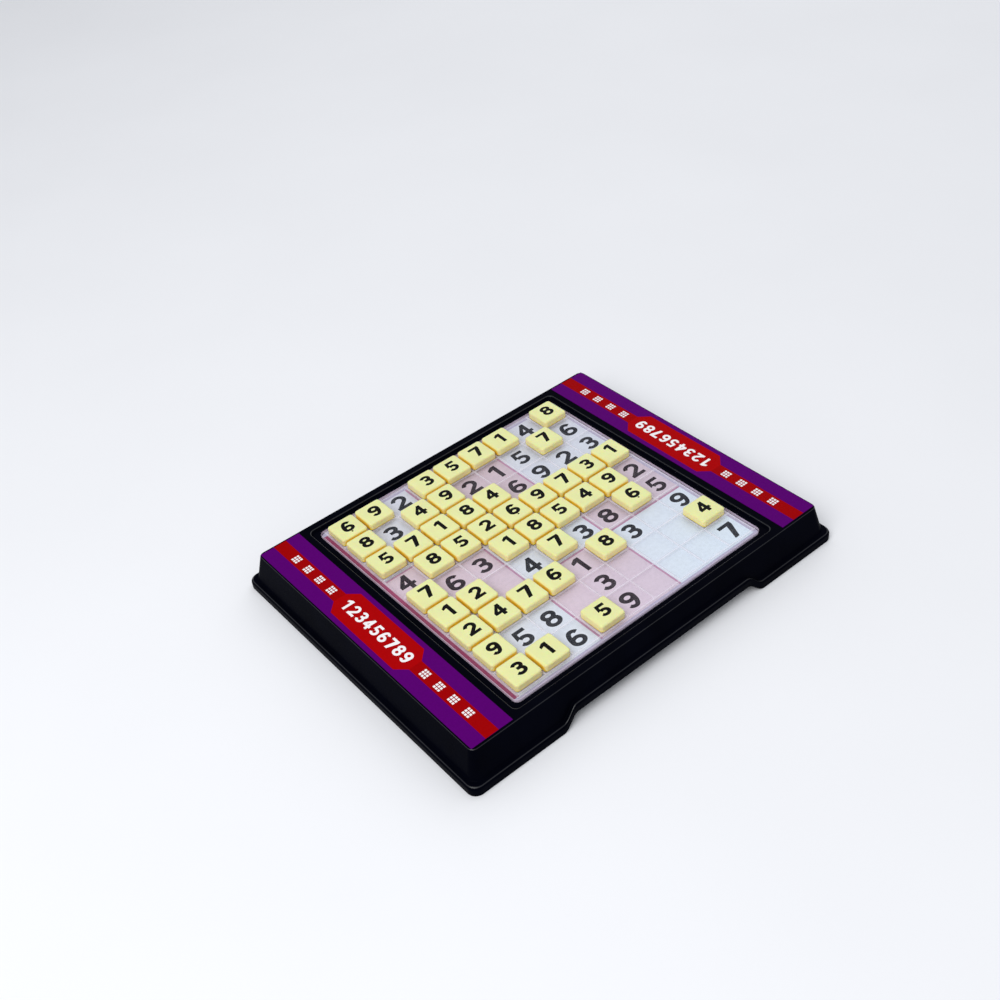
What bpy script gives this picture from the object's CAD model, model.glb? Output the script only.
"""The looks of a sudoku board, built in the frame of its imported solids.

+X is the reader's right, +Y points away from the reader and +Z is up. Lengths are in metres,
and most constants below are millimetres times MM.
"""
import math
import random

import bmesh
import bpy
from mathutils import Matrix, Vector
from mathutils.geometry import delaunay_2d_cdt


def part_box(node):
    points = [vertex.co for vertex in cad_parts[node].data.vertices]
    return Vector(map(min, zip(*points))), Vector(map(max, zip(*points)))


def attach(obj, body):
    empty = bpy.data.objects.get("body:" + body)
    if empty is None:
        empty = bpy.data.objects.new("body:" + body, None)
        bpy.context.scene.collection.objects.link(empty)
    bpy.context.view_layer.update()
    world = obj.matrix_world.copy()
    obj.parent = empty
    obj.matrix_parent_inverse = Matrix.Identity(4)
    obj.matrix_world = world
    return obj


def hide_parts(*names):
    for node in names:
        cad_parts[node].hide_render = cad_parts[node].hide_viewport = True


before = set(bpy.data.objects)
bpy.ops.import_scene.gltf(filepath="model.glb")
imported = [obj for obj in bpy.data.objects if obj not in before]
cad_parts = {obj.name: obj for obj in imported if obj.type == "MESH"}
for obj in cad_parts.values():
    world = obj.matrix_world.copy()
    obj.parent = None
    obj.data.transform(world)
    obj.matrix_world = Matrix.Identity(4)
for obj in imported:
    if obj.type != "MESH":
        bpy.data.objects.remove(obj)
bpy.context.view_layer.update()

MM = 0.001

# The game, from the far row to the near one: figures on the tiles, and figures printed on the card
TILE_ROWS = (
    "69.3571.8",
    "8.49...7.",
    "57184....",
    ".85269731",
    "7..18549.",
    "12..7..6.",
    "2476.8...",
    "9.......4",
    "31.5.....",
)
CARD_ROWS = (
    "..2....4.",
    ".3..215.6",
    ".....6923",
    "4........",
    ".63.....2",
    "...4.38.5",
    "....1.3.9",
    ".58.3....",
    "..6.9...7",
)
EMPTY = "."
CELLS = 9
BOX_CELLS = 3

# Sizes taken from the solids
TRAY_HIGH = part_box("tray")[1]
CARD_LOW, CARD_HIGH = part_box("puzzle_card")
PLATE_LOW, PLATE_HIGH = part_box("grid_plate")
TILE_LOW, TILE_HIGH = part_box("tile_r1c1")
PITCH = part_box("tile_r1c2")[0].x - TILE_LOW.x
GRID_HALF = CELLS * PITCH / 2
CELL_FLOOR = TILE_LOW.z
RIDGE_H = PLATE_HIGH.z - CELL_FLOOR
TILE_HALF = (TILE_HIGH.x - TILE_LOW.x) / 2
TILE_H = TILE_HIGH.z - TILE_LOW.z
PLATE_HALF = PLATE_HIGH.x
CARD_HALF = CARD_HIGH.x
FRAME_TOP = TRAY_HIGH.z
FLOOR_TOP = CARD_LOW.z

# The plate's corners, which the card and the well follow
PLATE_R = 2.2 * MM

# Steps along the curves
CORNER_STEPS = 8
ARCH_STEPS = 14
ROUND_STEPS = 6
FIGURE_STEPS = 16


# Colours

def srgb(red, green, blue):
    """A colour written as the eye sees it, as the linear values that a shader takes."""
    parts = [channel / 255 for channel in (red, green, blue)]
    linear = [c / 12.92 if c <= 0.04045 else ((c + 0.055) / 1.055) ** 2.4 for c in parts]
    return (*linear, 1)


def tinted(colour, share):
    return (*[min(1, channel * share) for channel in colour[:3]], 1)


# Material nodes

NOISE_DETAIL = 3
# Nearly all of a noise lies between these two values
NOISE_LOW = 0.3
NOISE_HIGH = 0.7


def new_material(name, **sockets):
    """A material and its shader, with sockets named by their words joined with _."""
    material = bpy.data.materials.new(name)
    material.use_nodes = True
    shader = material.node_tree.nodes["Principled BSDF"]
    for socket, value in sockets.items():
        shader.inputs[socket.replace("_", " ")].default_value = value
    return material, shader


def link(material, source, target):
    material.node_tree.links.new(source, target)


def noise(material, scale):
    """A noise that keeps its place on the piece, with scale in waves per metre."""
    nodes = material.node_tree.nodes
    place = nodes.new("ShaderNodeTexCoord")
    texture = nodes.new("ShaderNodeTexNoise")
    texture.inputs["Scale"].default_value = scale
    texture.inputs["Detail"].default_value = NOISE_DETAIL
    link(material, place.outputs["Object"], texture.inputs["Vector"])
    return texture.outputs["Fac"]


def along(material, kind, axis):
    """How far a point's place (Object) or its normal (Normal) goes along an axis of the piece."""
    nodes = material.node_tree.nodes
    source = nodes.new("ShaderNodeTexCoord")
    split = nodes.new("ShaderNodeSeparateXYZ")
    link(material, source.outputs[kind], split.inputs["Vector"])
    return split.outputs[axis]


def mapped(material, source, start, end, low=0, high=1):
    """A number that goes from low to high as source goes from start to end."""
    node = material.node_tree.nodes.new("ShaderNodeMapRange")
    limits = {"From Min": start, "From Max": end, "To Min": low, "To Max": high}
    for socket, value in limits.items():
        node.inputs[socket].default_value = value
    link(material, source, node.inputs["Value"])
    return node.outputs["Result"]


def ramp(material, source, low, low_colour, high, high_colour):
    """A colour that goes from one to another as source goes from low to high."""
    node = material.node_tree.nodes.new("ShaderNodeValToRGB")
    first, last = node.color_ramp.elements
    first.position = low
    first.color = low_colour
    last.position = high
    last.color = high_colour
    link(material, source, node.inputs["Fac"])
    return node.outputs["Color"]


def blend(material, share, first, second):
    """A colour that goes from first to second as share goes from 0 to 1."""
    node = material.node_tree.nodes.new("ShaderNodeMix")
    node.data_type = "RGBA"
    colours = [socket for socket in node.inputs if socket.type == "RGBA"]
    for source, target in zip((share, first, second), (node.inputs["Factor"], *colours)):
        link(material, source, target)
    return next(socket for socket in node.outputs if socket.type == "RGBA")


def drifting(material, colour, share, scale):
    """A colour that drifts a little darker and lighter over the surface."""
    darker = tinted(colour, 1 - share)
    lighter = tinted(colour, 1 + share)
    return ramp(material, noise(material, scale), NOISE_LOW, darker, NOISE_HIGH, lighter)


def drift(material, shader, colour, share, scale):
    link(material, drifting(material, colour, share, scale), shader.inputs["Base Color"])


def vary(material, shader, socket, low, high, scale):
    """Lets a number drift between two values over the surface."""
    value = mapped(material, noise(material, scale), NOISE_LOW, NOISE_HIGH, low, high)
    link(material, value, shader.inputs[socket])


def grain(material, shader, scale, depth, strength):
    """A fine relief in the surface, with depth in metres."""
    bump = material.node_tree.nodes.new("ShaderNodeBump")
    bump.inputs["Strength"].default_value = strength
    bump.inputs["Distance"].default_value = depth
    link(material, noise(material, scale), bump.inputs["Height"])
    link(material, bump.outputs["Normal"], shader.inputs["Normal"])


# Materials

MOTTLE = {"share": 0.04, "scale": 700}
PRINT_ROUGHNESS_SPREAD = 0.05
# How far a tile's side looks for its neighbours, and how open it is, from 0 to 1, where its
# colour is deep gold and where it is cream
CREVICE_REACH = 3 * MM
CREVICE_SAMPLES = 8
CREVICE_DEEP = 0.3
CREVICE_OPEN = 0.6


def moulded_black(name, colour, gloss):
    """Black plastic with a fine moulded grain."""
    material, shader = new_material(name, Specular_IOR_Level=gloss)
    drift(material, shader, colour, share=0.25, scale=60)
    vary(material, shader, "Roughness", low=0.26, high=0.36, scale=900)
    grain(material, shader, scale=2600, depth=0.02 * MM, strength=0.25)
    return material


def printed(name, roughness, colour, right_colour=None, far_colour=None):
    """Ink on paper, with a faint mottle.

    It may fade to other colours toward the right and the far end of the grid.
    """
    material, shader = new_material(name, Specular_IOR_Level=0.01)
    shade = drifting(material, colour, **MOTTLE)
    for axis, end_colour in (("X", right_colour), ("Y", far_colour)):
        if end_colour:
            share = mapped(material, along(material, "Object", axis), -GRID_HALF, GRID_HALF)
            shade = blend(material, share, shade, drifting(material, end_colour, **MOTTLE))
    link(material, shade, shader.inputs["Base Color"])
    smooth = roughness - PRINT_ROUGHNESS_SPREAD
    rough = roughness + PRINT_ROUGHNESS_SPREAD
    vary(material, shader, "Roughness", low=smooth, high=rough, scale=400)
    grain(material, shader, scale=1800, depth=0.02 * MM, strength=0.15)
    return material


def tile_plastic():
    """Pale yellow plastic that lets a little light in.

    Its upright sides are warmer than its top, and deep gold where tiles stand close together.
    """
    material, shader = new_material(
        "tile_plastic",
        Specular_IOR_Level=0.4,
        Subsurface_Weight=0.35,
        Subsurface_Radius=(1, 0.62, 0.18),
        Subsurface_Scale=1.6 * MM,
    )
    crevice = material.node_tree.nodes.new("ShaderNodeAmbientOcclusion")
    crevice.samples = CREVICE_SAMPLES
    crevice.inputs["Distance"].default_value = CREVICE_REACH
    gold = srgb(250, 206, 20)
    cream = srgb(242, 229, 162)
    side = ramp(material, crevice.outputs["AO"], CREVICE_DEEP, gold, CREVICE_OPEN, cream)
    top = drifting(material, srgb(227, 229, 162), share=0.03, scale=110)
    colour = blend(material, along(material, "Normal", "Z"), side, top)
    link(material, colour, shader.inputs["Base Color"])
    vary(material, shader, "Roughness", low=0.3, high=0.42, scale=500)
    grain(material, shader, scale=900, depth=0.02 * MM, strength=0.2)
    return material


def stamped_ink():
    """Black ink on the tiles."""
    material, shader = new_material("tile_ink", Specular_IOR_Level=0.05)
    drift(material, shader, srgb(8, 8, 9), share=0.3, scale=900)
    vary(material, shader, "Roughness", low=0.32, high=0.48, scale=700)
    return material


def clear_plastic(name, colour, thin, thick):
    """Clear plastic with a crinkled frost, whose alpha drifts from thin to thick."""
    material, shader = new_material(name, Base_Color=colour, Specular_IOR_Level=0.6)
    vary(material, shader, "Alpha", low=thin, high=thick, scale=260)
    vary(material, shader, "Roughness", low=0.12, high=0.3, scale=600)
    grain(material, shader, scale=420, depth=0.1 * MM, strength=0.5)
    return material


# Outlines

# What delaunay_2d_cdt takes: triangles inside the outlines only, and points this close are one
INSIDE_ONLY = 1
SAME_POINT = 1e-6


def arc(x, y, reach_x, reach_y, start, end, steps=FIGURE_STEPS):
    """Points on an ellipse from one angle to another, in degrees."""
    angles = [math.radians(start + (end - start) * i / steps) for i in range(steps + 1)]
    return [(x + reach_x * math.cos(a), y + reach_y * math.sin(a)) for a in angles]


def rounding(x, y, radius, start, end, steps=ROUND_STEPS):
    """Points on the round of an edge."""
    return arc(x, y, radius, radius, start, end, steps)


def block(x0, y0, x1, y1):
    return [(x0, y0), (x1, y0), (x1, y1), (x0, y1)]


def round_block(half, radius):
    """A square with round corners, counterclockwise."""
    inset = half - radius
    corners = ((inset, -inset, -90), (inset, inset, 0), (-inset, inset, 90), (-inset, -inset, 180))
    return [
        point
        for x, y, start in corners
        for point in rounding(x, y, radius, start, start + 90, CORNER_STEPS)
    ]


def placed(outline, x, y, size=1, turn=0):
    """An outline made larger, turned by an angle in degrees and moved."""
    c = math.cos(math.radians(turn)) * size
    s = math.sin(math.radians(turn)) * size
    return [(x + px * c - py * s, y + px * s + py * c) for px, py in outline]


def counterclockwise(outline):
    following = outline[1:] + outline[:1]
    turns = [x0 * y1 - x1 * y0 for (x0, y0), (x1, y1) in zip(outline, following)]
    return outline if sum(turns) > 0 else outline[::-1]


def partition(outline, regions):
    """Cuts a flat outline along the edges of coloured regions.

    Each region is (outline, slot), and later regions lie over earlier ones. Returns points,
    triangles and the slot of each triangle.
    """
    points, loops = [], []
    for loop in [outline] + [region for region, _ in regions]:
        loops.append(list(range(len(points), len(points) + len(loop))))
        points += [Vector(p) / MM for p in counterclockwise(loop)]
    slots = [0] + [slot for _, slot in regions]
    cut, _, faces, _, _, origins = delaunay_2d_cdt(points, [], loops, INSIDE_ONLY, SAME_POINT)
    kept = [(face, slots[max(origin)]) for face, origin in zip(faces, origins) if origin]
    return [p * MM for p in cut], [face for face, _ in kept], [slot for _, slot in kept]


# Figures

# Height of the waist in 3 and 8, and the degrees by which the halves of a bowl run into each other
WAIST = 0.53
HALF_LAP = 9


class Pen:
    """Draws figures one unit high, in strokes stem thick across the page and bar thick along it."""

    def __init__(self, width, stem, bar):
        self.width = width
        self.stem = stem
        self.bar = bar
        self.middle = width / 2
        self.left = stem / 2
        self.reach = self.middle - self.left
        self.low = bar / 2
        self.high = 1 - bar / 2

    def figure(self, digit):
        """Outlines that together fill one figure, with its middle at zero."""
        shapes = (
            self.one, self.two, self.three, self.four, self.five,
            self.six, self.seven, self.eight, self.nine,
        )
        return [[(x - self.middle, y - 0.5) for x, y in part] for part in shapes[int(digit) - 1]()]

    def stroke(self, points):
        """Outline of a stroke along points."""
        left, right = [], []
        for i, (x, y) in enumerate(points):
            ax, ay = points[max(i - 1, 0)]
            bx, by = points[min(i + 1, len(points) - 1)]
            run = math.hypot(bx - ax, by - ay)
            side_x = (ay - by) / run * self.stem / 2
            side_y = (bx - ax) / run * self.bar / 2
            left.append((x + side_x, y + side_y))
            right.append((x - side_x, y - side_y))
        return left + right[::-1]

    def bowl(self, bottom, top, share=1):
        """A closed round in two halves."""
        y = (bottom + top) / 2
        reach_y = (top - bottom) / 2
        ends = ((-HALF_LAP, 180 + HALF_LAP), (180 - HALF_LAP, 360 + HALF_LAP))
        halves = [arc(self.middle, y, self.reach * share, reach_y, *pair) for pair in ends]
        return [self.stroke(half) for half in halves]

    def one(self):
        stem_x = 0.63 * self.width
        tip_x = stem_x - 0.37
        tip_top, tip_low, root_low = 0.84, 0.66, 0.77
        top = [(stem_x, 1), (stem_x - self.left, 1)]
        flag = [*top, (tip_x, tip_top), (tip_x, tip_low), (stem_x, root_low)]
        return [self.stroke([(stem_x, 0), (stem_x, 1)]), flag]

    def two(self):
        crown_h = 0.24
        crown_start, crown_end = 170, -42
        base_start = 0.01
        crown_y = self.high - crown_h
        crown = arc(self.middle, crown_y, self.reach, crown_h, crown_start, crown_end)
        base = block(base_start, 0, self.width, self.bar)
        return [self.stroke(crown + [(self.left, self.low)]), base]

    def three(self):
        upper_share = 0.93
        tip = 160
        tongue_start, tongue_end = self.middle - 0.13, self.middle + 0.02
        upper_y, upper_h = (self.high + WAIST) / 2, (self.high - WAIST) / 2
        lower_y, lower_h = (self.low + WAIST) / 2, (WAIST - self.low) / 2
        upper = arc(self.middle, upper_y, self.reach * upper_share, upper_h, tip, -90)
        lower = arc(self.middle, lower_y, self.reach, lower_h, 90, -tip)
        tongue = [(tongue_start, WAIST), (tongue_end, WAIST)]
        return [self.stroke(line) for line in (upper, lower, tongue)]

    def four(self):
        stem_x = 0.68 * self.width
        bar_low = 0.21
        bar_top = bar_low + self.bar
        slope_w, slope_high = 0.27, 0.84
        slope_top_x = stem_x - self.left * 0.6
        slope = [(0, bar_top), (slope_w, bar_top), (stem_x, slope_high), (stem_x, 1), (slope_top_x, 1)]
        upright = block(stem_x - self.left, 0, stem_x + self.left, 1)
        return [upright, slope, block(0, bar_low, self.width, bar_top)]

    def five(self):
        back_x = 0.13
        top_end = self.width - 0.05
        back_end = back_x + self.stem * 0.85
        back_inner = (0.08 + self.stem * 0.8, 0.56)
        back_tip = (0.05, 0.47)
        belly_x = self.middle - 0.01
        belly_top = 0.64 - self.bar / 2
        belly_y, belly_h = (self.low + belly_top) / 2, (belly_top - self.low) / 2
        belly_start, belly_end = 128, -155
        belly = arc(belly_x, belly_y, self.reach, belly_h, belly_start, belly_end)
        top = block(back_x, 1 - self.bar, top_end, 1)
        return [top, [(back_x, 1), (back_end, 1), back_inner, back_tip], self.stroke(belly)]

    def six(self):
        bowl_top = 0.62 - self.bar / 2
        bowl_y = (self.low + bowl_top) / 2
        tip_h, tip_share = 0.2, 0.96
        tip_start, tip_end = 84, 22
        back = arc(self.middle, bowl_y, self.reach, self.high - bowl_y, 180, 90)
        tip_reach = self.reach * tip_share
        tip = arc(self.middle, self.high - tip_h, tip_reach, tip_h, tip_start, tip_end)
        return self.bowl(self.low, bowl_top) + [self.stroke(back + tip)]

    def seven(self):
        bar_low = 1 - self.bar
        bar_start = 0.01
        foot_x = 0.24 * self.width
        foot_end = foot_x + self.stem * 1.12
        slope_start = self.width - 0.31
        slope = [(foot_x, 0), (foot_end, 0), (self.width, bar_low), (slope_start, bar_low)]
        return [block(bar_start, bar_low, self.width, 1), slope]

    def eight(self):
        upper_share = 0.92
        return self.bowl(WAIST, self.high, upper_share) + self.bowl(self.low, WAIST)

    def nine(self):
        return [[(self.width - x, 1 - y) for x, y in part] for part in self.six()]


# Meshes

MERGE = 1e-4 * MM
SHARP = 30


def loft(rings):
    """Quads between rings that go up the outside of a piece, counterclockwise from above."""
    count = len(rings[0])
    faces = []
    for low in range(0, (len(rings) - 1) * count, count):
        for i in range(count):
            j = (i + 1) % count
            faces.append((low + i, low + j, low + count + j, low + count + i))
    return [p for ring in rings for p in ring], faces


class Piece:
    """Points, faces and face slots gathered for one object."""

    def __init__(self):
        self.points = []
        self.faces = []
        self.slots = []

    def add(self, points, faces, slots=0):
        """Adds faces, with one slot for each face or one for all."""
        start = len(self.points)
        self.points += [tuple(p) for p in points]
        self.faces += [tuple(start + i for i in face) for face in faces]
        self.slots += slots if isinstance(slots, list) else [slots] * len(faces)

    def cap(self, ring, up, slot=0):
        """Closes a ring with a fan of triangles around its middle."""
        middle = sum((Vector(p) for p in ring), Vector()) / len(ring)
        count = len(ring)
        fan = [(count, i, (i + 1) % count) for i in range(count)]
        self.add([*ring, middle], fan if up else [face[::-1] for face in fan], slot)

    def mesh(self, name, materials, sharp=SHARP):
        """A smooth mesh whose edges over the angle sharp, in degrees, stay crisp."""
        mesh = bpy.data.meshes.new(name)
        mesh.from_pydata(self.points, [], self.faces)
        for material in materials:
            mesh.materials.append(material)
        mesh.polygons.foreach_set("material_index", self.slots)
        work = bmesh.new()
        work.from_mesh(mesh)
        bmesh.ops.remove_doubles(work, verts=work.verts, dist=MERGE)
        bmesh.ops.dissolve_degenerate(work, edges=work.edges, dist=MERGE)
        work.to_mesh(mesh)
        work.free()
        mesh.shade_smooth()
        mesh.set_sharp_from_angle(angle=math.radians(sharp))
        return mesh


def show(name, mesh, body, slot, *nodes):
    """Puts a mesh in the scene as the looks of these nodes."""
    obj = bpy.data.objects.new(name, mesh)
    bpy.context.scene.collection.objects.link(obj)
    normals = obj.modifiers.new("even_normals", "WEIGHTED_NORMAL")
    normals.keep_sharp = True
    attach(obj, body)
    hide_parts(*nodes)


def at_height(outline, z):
    return [(x, y, z) for x, y in outline]


def cell_middle(row, col):
    """Middle of a cell, counting rows from the far one and columns from the left one."""
    return (col - (CELLS - 1) / 2) * PITCH, ((CELLS - 1) / 2 - row) * PITCH


# Tray

WELL_GAP = 0.4 * MM
WELL_WALL = 1.8 * MM
FLOOR_T = 1.8 * MM
DECK_T = 1.8 * MM
WALL_T = 2 * MM
LEDGE_W = 2 * MM
STEP_H = 1.2 * MM
STEP_RUN = 0.6 * MM
WALL_LEAN = math.tan(math.radians(12.4))
EDGE_R = 0.6 * MM
CORNER_R = 2.5 * MM
RIM_H = 4.4 * MM
RIM_OUT = 2.4 * MM
SHOULDER_R = 1.5 * MM
BASE_R = 0.4 * MM
FILLET_R = 0.6 * MM
RIM_CORNER_R = 4 * MM
FOOT_LEN = 42 * MM
ARCH_H = 5.1 * MM
ARCH_RUN = 8 * MM
LIP_R = 0.3 * MM

BODY_SLOT, EDGE_SLOT = 0, 1
# Strips of a rounding that catch the light as a thin worn line, counted from its start
SHOULDER_WORN = (3,)
TOP_WORN = (2, 3)
LIP_WORN = range(ROUND_STEPS)


def tray_sections():
    """The tray's skin in rings, from the underside of the well out to the rim, up and into the well.

    Each section is its rings and the strips between them that are worn.
    """
    wall_foot = (FRAME_TOP - RIM_H) * WALL_LEAN
    rim_edge = wall_foot + RIM_OUT
    top_x, top_y = TRAY_HIGH.x - rim_edge, TRAY_HIGH.y - rim_edge
    well_half = PLATE_HALF + WELL_GAP
    well_r = PLATE_R + WELL_GAP
    ledge_half = well_half + LEDGE_W
    recess_half = ledge_half + STEP_RUN
    ledge_z = FRAME_TOP - STEP_H
    deck_under = FRAME_TOP - DECK_T
    side_run = TRAY_HIGH.x - RIM_CORNER_R
    foot_share = (TRAY_HIGH.x - FOOT_LEN) / side_run
    run_share = ARCH_RUN / side_run
    climbs = [foot_share - run_share * i / ARCH_STEPS for i in range(ARCH_STEPS + 1)]
    shares = [-share for share in climbs] + climbs[::-1]

    def rise(share):
        """Height of the finger arch at a share of half a long side."""
        t = min(1, max(0, (foot_share - abs(share)) / run_share))
        return ARCH_H * t * t * (3 - 2 * t)

    def ring(half_x, half_y, r, z, lift=0):
        """A rectangle with round corners, whose long sides follow the arch where lift is 1."""

        def run(side):
            climb = [lift * rise(share) for share in shares]
            return [
                (-side * share * (half_x - r), side * (half_y - up * WALL_LEAN), z + up)
                for share, up in zip(shares, climb)
            ]

        def corner(side_x, side_y, start):
            x, y = side_x * (half_x - r), side_y * (half_y - r)
            return at_height(rounding(x, y, r, start, start + 90, CORNER_STEPS), z)

        near = run(-1) + corner(1, -1, -90) + corner(1, 1, 0)
        return near + run(1) + corner(-1, 1, 90) + corner(-1, -1, 180)

    def outer(out, r, z, lift=0):
        return ring(top_x + out, top_y + out, r, z, lift)

    def square(half, z):
        return ring(half, half, well_r, z)

    def low_round(out, z, radius, start, end):
        points = rounding(out, z, radius, start, end)
        return [outer(x, RIM_CORNER_R, y, lift=1) for x, y in points]

    def lip(half, z):
        return [square(x, y) for x, y in rounding(half, z, LIP_R, 90, 180)]

    under_r = well_r + WELL_WALL
    under_half = well_half + WELL_WALL
    under_z = FLOOR_TOP - FLOOR_T
    hollow = [
        ring(under_half, under_half, under_r, under_z),
        ring(under_half, under_half, under_r, deck_under),
        outer(DECK_T * WALL_LEAN - WALL_T, CORNER_R, deck_under),
        outer(wall_foot - WALL_T, CORNER_R, 0, lift=1),
    ]
    base = low_round(rim_edge - BASE_R, BASE_R, BASE_R, -90, 0)
    shoulder = low_round(rim_edge - SHOULDER_R, RIM_H - SHOULDER_R, SHOULDER_R, 0, 90)
    fillet = low_round(wall_foot + FILLET_R, RIM_H + FILLET_R, FILLET_R, 270, 180)
    top = [outer(x, CORNER_R, y) for x, y in rounding(-EDGE_R, FRAME_TOP - EDGE_R, EDGE_R, 0, 90)]
    return [
        (hollow, ()),
        (base, ()),
        (shoulder, SHOULDER_WORN),
        (fillet, ()),
        (top, TOP_WORN),
        (lip(recess_half + LIP_R, FRAME_TOP - LIP_R), LIP_WORN),
        ([square(ledge_half, ledge_z)], ()),
        (lip(well_half + LIP_R, ledge_z - LIP_R), ()),
        ([square(well_half, FLOOR_TOP)], ()),
    ]


def build_tray():
    rings, slots = [], []
    for section, worn in tray_sections():
        if rings:
            slots.append(BODY_SLOT)
        slots += [EDGE_SLOT if strip in worn else BODY_SLOT for strip in range(len(section) - 1)]
        rings += section
    piece = Piece()
    piece.cap(rings[0], up=False)
    piece.add(*loft(rings), [slot for slot in slots for _ in rings[0]])
    piece.cap(rings[-1], up=True)
    plastics = [
        moulded_black("tray_plastic", srgb(3, 4, 12), gloss=0.006),
        moulded_black("tray_edge", srgb(26, 27, 32), gloss=0.3),
    ]
    show("tray_shell", piece.mesh("tray_shell", plastics), "tray", "tray_plastic", "tray")


# Labels

LABEL_PEN = Pen(width=0.7, stem=0.22, bar=0.19)
LABEL_FIGURE_H = 5.6 * MM
LABEL_FIGURE_STEP = 4.9 * MM
LABEL_ROUGHNESS = 0.34
BAND_W = 6 * MM
PLAQUE_L = 50 * MM
PLAQUE_W = 14.5 * MM
PLAQUE_CUT = 4.2 * MM
MARK_W = 0.95 * MM
MARK_STEP = 1.3 * MM
MARK_PLACES = (31 * MM, 39.5 * MM, 48 * MM, 56.5 * MM)


def plaque_outline():
    """A long plate with its corners cut, across the middle of a label."""
    x, y, cut = PLAQUE_W / 2, PLAQUE_L / 2, PLAQUE_CUT
    return [
        (-x + cut, -y), (x - cut, -y), (x, -y + cut), (x, y - cut),
        (x - cut, y), (-x + cut, y), (-x, y - cut), (-x, -y + cut),
    ]


def label_regions(half_y):
    """Print of a label around its own middle: band, plaque, figures and marks of 3 by 3 squares."""
    band_slot, plaque_slot, white_slot = 1, 2, 3
    regions = [
        (block(-BAND_W / 2, -half_y, BAND_W / 2, half_y), band_slot),
        (plaque_outline(), plaque_slot),
    ]
    for i in range(CELLS):
        y = (CELLS // 2 - i) * LABEL_FIGURE_STEP
        for part in LABEL_PEN.figure(i + 1):
            regions.append((placed(part, 0, y, LABEL_FIGURE_H, -90), white_slot))
    half = MARK_W / 2
    for place in MARK_PLACES:
        for side in (-1, 1):
            for i in range(BOX_CELLS):
                for j in range(BOX_CELLS):
                    x, y = (i - 1) * MARK_STEP, side * place + (j - 1) * MARK_STEP
                    regions.append((block(x - half, y - half, x + half, y + half), white_slot))
    return regions


def build_labels():
    prints = [
        printed("label_purple", LABEL_ROUGHNESS, srgb(85, 1, 106)),
        printed("label_band", LABEL_ROUGHNESS, srgb(153, 2, 5)),
        printed("label_plaque", LABEL_ROUGHNESS, srgb(166, 3, 6)),
        printed("label_white", LABEL_ROUGHNESS, srgb(240, 238, 240)),
    ]
    for node, turn in (("label_left", 0), ("label_right", 180)):
        low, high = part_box(node)
        middle, half = (low + high) / 2, (high - low) / 2
        # The outline has the ends of the band as points, so that the sides meet the print
        near = [(x, -half.y) for x in (-half.x, -BAND_W / 2, BAND_W / 2, half.x)]
        outline = near + [(-x, -y) for x, y in near]
        points, faces, slots = partition(outline, label_regions(half.y))
        placed_points = placed([tuple(p) for p in points], middle.x, middle.y, 1, turn)
        rim = placed(outline, middle.x, middle.y, 1, turn)
        piece = Piece()
        piece.add(at_height(placed_points, high.z), faces, slots)
        piece.add(*loft([at_height(rim, low.z), at_height(rim, high.z)]))
        piece.cap(at_height(rim, low.z), up=False)
        show(node + "_print", piece.mesh(node + "_print", prints), "tray", "label_print", node)


# Puzzle card

CARD_PEN = Pen(width=0.78, stem=0.225, bar=0.195)
CARD_FIGURE_H = 9 * MM
CARD_ROUGHNESS = 0.55
CARD_INK_ROUGHNESS = 0.5
CARD_BAND_W = 2.1 * MM
CARD_SOFT_W = 1 * MM
CARD_LINE_W = 0.9 * MM
# Through the clear plate the figures look moved and spread by this much
CARD_PRINT_SHIFT = Vector((0.65 * MM, 0.95 * MM))
CARD_PRINT_SPREAD = 1.012


def in_blue_box(box_row, box_col):
    """The boxes of the grid take turns, from blue in the corners."""
    return (box_row + box_col) % 2 == 0


def card_regions():
    """Print of the card: boxes in two colours, lines between them, a band and the given figures."""
    blue_slot, pink_slot, line_slot, soft_slot, band_slot, dark_slot, mauve_slot = range(1, 8)
    box_w = BOX_CELLS * PITCH
    boxes = range(CELLS // BOX_CELLS)
    regions = []
    for i in boxes:
        for j in boxes:
            x, y = i * box_w - GRID_HALF, j * box_w - GRID_HALF
            slot = blue_slot if in_blue_box(j, i) else pink_slot
            regions.append((block(x, y, x + box_w, y + box_w), slot))
    half = CARD_LINE_W / 2
    for i in boxes[1:]:
        place = i * box_w - GRID_HALF
        regions.append((block(place - half, -GRID_HALF, place + half, GRID_HALF), line_slot))
        regions.append((block(-GRID_HALF, place - half, GRID_HALF, place + half), line_slot))
    edge = CARD_HALF - PLATE_R
    for width, slot in ((CARD_BAND_W + CARD_SOFT_W, soft_slot), (CARD_BAND_W, band_slot)):
        regions.append((block(-CARD_HALF, -edge, -CARD_HALF + width, edge), slot))
    for row, line in enumerate(CARD_ROWS):
        for col, figure in enumerate(line):
            if figure == EMPTY:
                continue
            slot = dark_slot if in_blue_box(row // BOX_CELLS, col // BOX_CELLS) else mauve_slot
            x, y = Vector(cell_middle(row, col)) * CARD_PRINT_SPREAD + CARD_PRINT_SHIFT
            for part in CARD_PEN.figure(figure):
                regions.append((placed(part, x, y, CARD_FIGURE_H), slot))
    return regions


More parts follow.
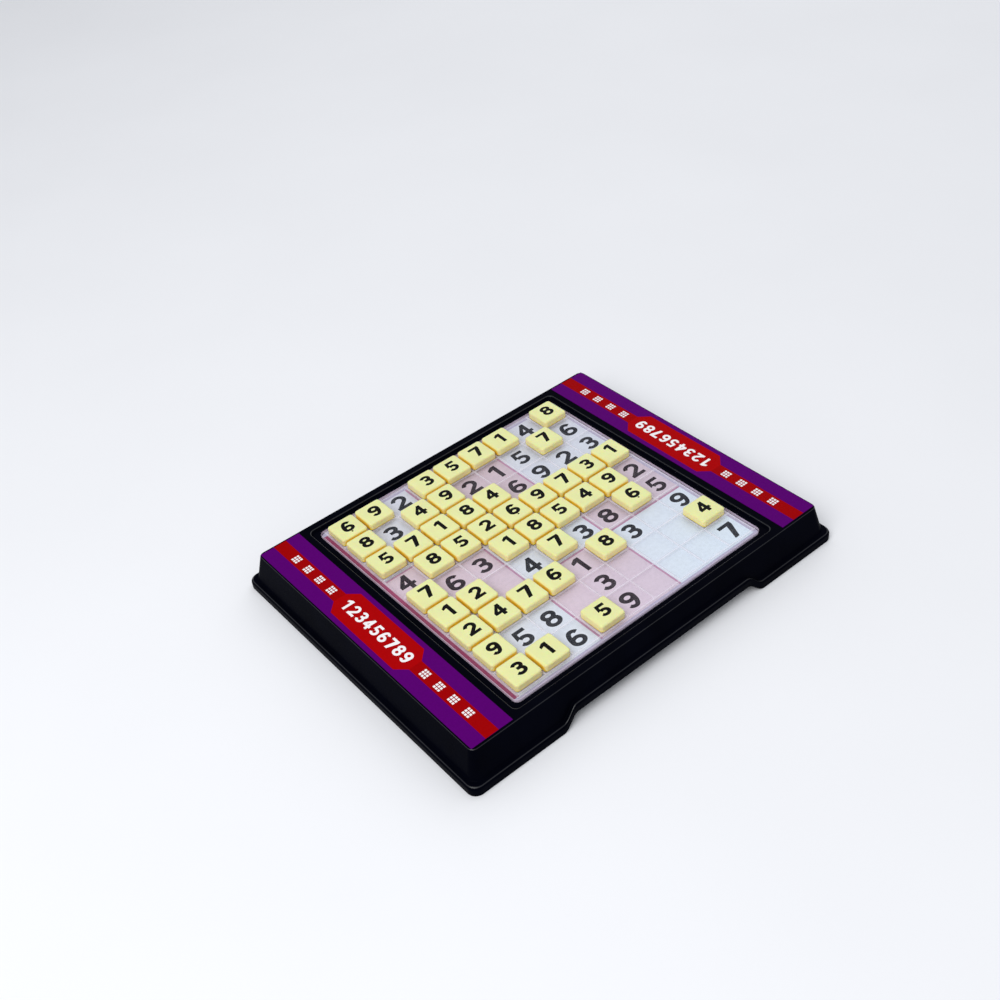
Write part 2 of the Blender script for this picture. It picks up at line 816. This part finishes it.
def build_card():
    blue = {
        "colour": srgb(217, 221, 231),
        "right_colour": srgb(216, 229, 241),
        "far_colour": srgb(207, 209, 221),
    }
    pink = {
        "colour": srgb(221, 202, 217),
        "right_colour": srgb(206, 194, 209),
        "far_colour": srgb(200, 182, 192),
    }
    prints = [
        printed("card_paper", CARD_ROUGHNESS, srgb(182, 177, 200)),
        printed("card_blue", CARD_ROUGHNESS, **blue),
        printed("card_pink", CARD_ROUGHNESS, **pink),
        printed("card_line", CARD_ROUGHNESS, srgb(184, 140, 168)),
        printed("card_band_soft", CARD_ROUGHNESS, srgb(184, 143, 160)),
        printed("card_band", CARD_ROUGHNESS, srgb(153, 64, 101)),
        printed("card_ink", CARD_INK_ROUGHNESS, srgb(25, 30, 38)),
        printed("card_ink_mauve", CARD_INK_ROUGHNESS, srgb(38, 27, 36)),
    ]
    outline = round_block(CARD_HALF, PLATE_R)
    points, faces, slots = partition(outline, card_regions())
    piece = Piece()
    piece.add(at_height(points, CARD_HIGH.z), faces, slots)
    piece.add(*loft([at_height(outline, CARD_LOW.z), at_height(outline, CARD_HIGH.z)]))
    piece.cap(at_height(outline, CARD_LOW.z), up=False)
    show("card_print", piece.mesh("card_print", prints), "card", "card_print", "puzzle_card")


# Grid plate

RIDGE_W = 0.95 * MM
RIDGE_STEPS = 3
PLATE_EDGE_R = 0.45 * MM
# The plate's underside stays this far over the card, so that the two faces don't flicker
PLATE_LIFT = 0.04 * MM
# Strips of the outer edge that are frosted, from the bottom up
FROSTED_STRIPS = 4
PLATE_SHARP = 40


def build_plate():
    plastics = [
        clear_plastic("plate_clear", srgb(236, 234, 244), thin=0.008, thick=0.03),
        clear_plastic("plate_ridge", srgb(240, 234, 246), thin=0.26, thick=0.42),
        clear_plastic("plate_edge", srgb(234, 216, 235), thin=0.55, thick=0.75),
    ]
    clear_slot, ridge_slot, edge_slot = 0, 1, 2
    piece = Piece()

    # Low round ridges over flat cells, which come down to the floor at the ends of the grid
    angles = [math.pi / 2 * i / RIDGE_STEPS for i in range(-RIDGE_STEPS, RIDGE_STEPS + 1)]
    lines = [
        (k * PITCH - GRID_HALF + RIDGE_W / 2 * math.sin(a), RIDGE_H * math.cos(a))
        for k in range(CELLS + 1)
        for a in angles
    ]
    count = len(lines)
    end_lines = {0, count - 1}

    def height(i, j):
        return 0 if end_lines & {i, j} else max(lines[i][1], lines[j][1])

    points = [
        (x, y, CELL_FLOOR + height(i, j))
        for j, (y, _) in enumerate(lines)
        for i, (x, _) in enumerate(lines)
    ]
    faces, slots = [], []
    step = len(angles)
    for j in range(count - 1):
        for i in range(count - 1):
            at = j * count + i
            faces.append((at, at + 1, at + count + 1, at + count))
            is_cell = (i + 1) % step == 0 and (j + 1) % step == 0
            slots.append(clear_slot if is_cell else ridge_slot)
    piece.add(points, faces, slots)

    # Flat border around the ridges
    places = [x for x, _ in lines]
    start, end = places[0], places[-1]
    inner = [(x, start) for x in places[:-1]] + [(end, y) for y in places[:-1]]
    inner += [(x, end) for x in places[:0:-1]] + [(start, y) for y in places[:0:-1]]
    rim = round_block(PLATE_HALF - PLATE_EDGE_R, PLATE_R - PLATE_EDGE_R)
    border_kind, grid_kind = 0, 1
    cut, triangles, kinds = partition(rim, [(inner, grid_kind)])
    border = [face for face, kind in zip(triangles, kinds) if kind == border_kind]
    piece.add(at_height(cut, CELL_FLOOR), border, clear_slot)

    # Outer edge, round at the top, and the underside
    foot = PLATE_LOW.z + PLATE_LIFT
    rings = [at_height(round_block(PLATE_HALF, PLATE_R), foot)]
    for inset, z in rounding(-PLATE_EDGE_R, CELL_FLOOR - PLATE_EDGE_R, PLATE_EDGE_R, 0, 90):
        rings.append(at_height(round_block(PLATE_HALF + inset, PLATE_R + inset), z))
    walls, faces = loft(rings)
    frosted = FROSTED_STRIPS * len(rings[0])
    piece.add(walls, faces, [edge_slot if i < frosted else clear_slot for i in range(len(faces))])
    piece.cap(rings[0], up=False, slot=clear_slot)
    mesh = piece.mesh("plate_shell", plastics, PLATE_SHARP)
    show("plate_shell", mesh, "plate", "clear_plastic", "grid_plate")


# Tiles

TILE_PEN = Pen(width=0.785, stem=0.25, bar=0.215)
TILE_FIGURE_H = 6.7 * MM
TILE_CORNER_R = 1.3 * MM
TILE_EDGE_R = 0.85 * MM
TILE_FOOT_R = 0.15 * MM
TILE_FOOT_STEPS = 2
TILE_WALL = 1.2 * MM
TILE_ROOF = 1.2 * MM
TILE_INNER_R = 0.65 * MM
# The dot under a 6, which tells it from a 9
DOT_R = 0.42 * MM
DOT_DROP = 3.9 * MM
DOT_STEPS = 16
# Mean place of a figure on its tile, and how far it strays and turns (in degrees)
PRINT_SHIFT = (0.23 * MM, 0.27 * MM)
PRINT_DRIFT = 0.22 * MM
PRINT_TURN = 1.6
PRINT_SEED = 9


def tile_rings():
    """Skin of a tile from the roof of its hollow down, around its foot and up to its top."""

    def ring(half, radius, z):
        return at_height(round_block(half, radius), z)

    inner_half = TILE_HALF - TILE_WALL
    foot = rounding(-TILE_FOOT_R, TILE_FOOT_R, TILE_FOOT_R, -90, 0, TILE_FOOT_STEPS)
    edge = rounding(-TILE_EDGE_R, TILE_H - TILE_EDGE_R, TILE_EDGE_R, 0, 90)
    inside = [ring(inner_half, TILE_INNER_R, z) for z in (TILE_H - TILE_ROOF, 0)]
    return inside + [ring(TILE_HALF + inset, TILE_CORNER_R + inset, z) for inset, z in foot + edge]


def tile_mesh(name, figure, materials, shift, turn):
    """A tile with its number printed in the flat of its top."""
    ink_slot = 1
    rings = tile_rings()
    top = [(x, y) for x, y, _ in rings[-1]]
    parts = TILE_PEN.figure(figure)
    regions = [(placed(part, *shift, TILE_FIGURE_H, turn), ink_slot) for part in parts]
    if figure == "6":
        x, y = shift
        dot = rounding(x, y - DOT_DROP, DOT_R, 0, 360, DOT_STEPS)[:-1]
        regions.append((dot, ink_slot))
    piece = Piece()
    piece.cap(rings[0], up=False)
    piece.add(*loft(rings))
    points, faces, slots = partition(top, regions)
    piece.add(at_height(points, TILE_H), faces, slots)
    return piece.mesh(name, materials)


def build_tiles():
    materials = [tile_plastic(), stamped_ink()]
    chance = random.Random(PRINT_SEED)
    for row, line in enumerate(TILE_ROWS):
        for col, figure in enumerate(line):
            if figure == EMPTY:
                continue
            node = f"tile_r{row + 1}c{col + 1}"
            shift = [mean + chance.uniform(-PRINT_DRIFT, PRINT_DRIFT) for mean in PRINT_SHIFT]
            turn = chance.uniform(-PRINT_TURN, PRINT_TURN)
            mesh = tile_mesh(node + "_shell", figure, materials, shift, turn)
            mesh.transform(Matrix.Translation((*cell_middle(row, col), CELL_FLOOR)))
            show(node + "_shell", mesh, node, "tile_plastic", node)


# Stage

CAMERA_PLACE = (-234.2 * MM, -311.8 * MM, 360.1 * MM)
# Degrees that the camera turns from +Y toward +X, looks down, and leans
CAMERA_HEADING = 35.064
CAMERA_TILT = 39.780
CAMERA_ROLL = -7.098
# The camera's own settings are in millimetres, but for the near limit
CAMERA_LENS = 45.76
CAMERA_SENSOR = 36
CAMERA_NEAR = 10 * MM
FLOOR_HALF = 6
# Name, place, width across in metres and power in watts
LAMPS = (
    ("key_light", (-0.7, -0.3, 0.9), 0.9, 7.9),
    ("fill_light", (0.7, 0.5, 0.9), 1.2, 3),
)
WORLD_STRENGTH = 0.6


def build_camera(scene):
    camera = bpy.data.objects.new("camera", bpy.data.cameras.new("camera"))
    camera.data.lens = CAMERA_LENS
    camera.data.sensor_width = CAMERA_SENSOR
    camera.data.clip_start = CAMERA_NEAR
    heading = Matrix.Rotation(math.radians(-CAMERA_HEADING), 4, "Z")
    tilt = Matrix.Rotation(math.radians(90 - CAMERA_TILT), 4, "X")
    roll = Matrix.Rotation(math.radians(CAMERA_ROLL), 4, "Z")
    camera.matrix_world = Matrix.Translation(CAMERA_PLACE) @ heading @ tilt @ roll
    scene.collection.objects.link(camera)
    scene.camera = camera


def build_floor(scene):
    material, shader = new_material("floor", Roughness=0.9, Specular_IOR_Level=0.1)
    drift(material, shader, srgb(240, 241, 244), share=0.01, scale=8)
    floor = Piece()
    corners = block(-FLOOR_HALF, -FLOOR_HALF, FLOOR_HALF, FLOOR_HALF)
    floor.add(at_height(corners, 0), [range(len(corners))])
    ground = bpy.data.objects.new("floor", floor.mesh("floor", [material]))
    scene.collection.objects.link(ground)


def build_lights(scene):
    for name, place, width, power in LAMPS:
        lamp = bpy.data.lights.new(name, "AREA")
        lamp.shape = "DISK"
        lamp.size = width
        lamp.energy = power
        holder = bpy.data.objects.new(name, lamp)
        holder.location = place
        holder.rotation_euler = (-Vector(place)).to_track_quat("-Z", "Y").to_euler()
        scene.collection.objects.link(holder)
    world = bpy.data.worlds.new("studio")
    world.use_nodes = True
    background = world.node_tree.nodes["Background"]
    background.inputs["Color"].default_value = srgb(240, 242, 246)
    background.inputs["Strength"].default_value = WORLD_STRENGTH
    scene.world = world


def build_stage():
    scene = bpy.context.scene
    scene.view_settings.view_transform = "Standard"
    build_camera(scene)
    build_floor(scene)
    build_lights(scene)


build_stage()
build_tray()
build_labels()
build_card()
build_plate()
build_tiles()
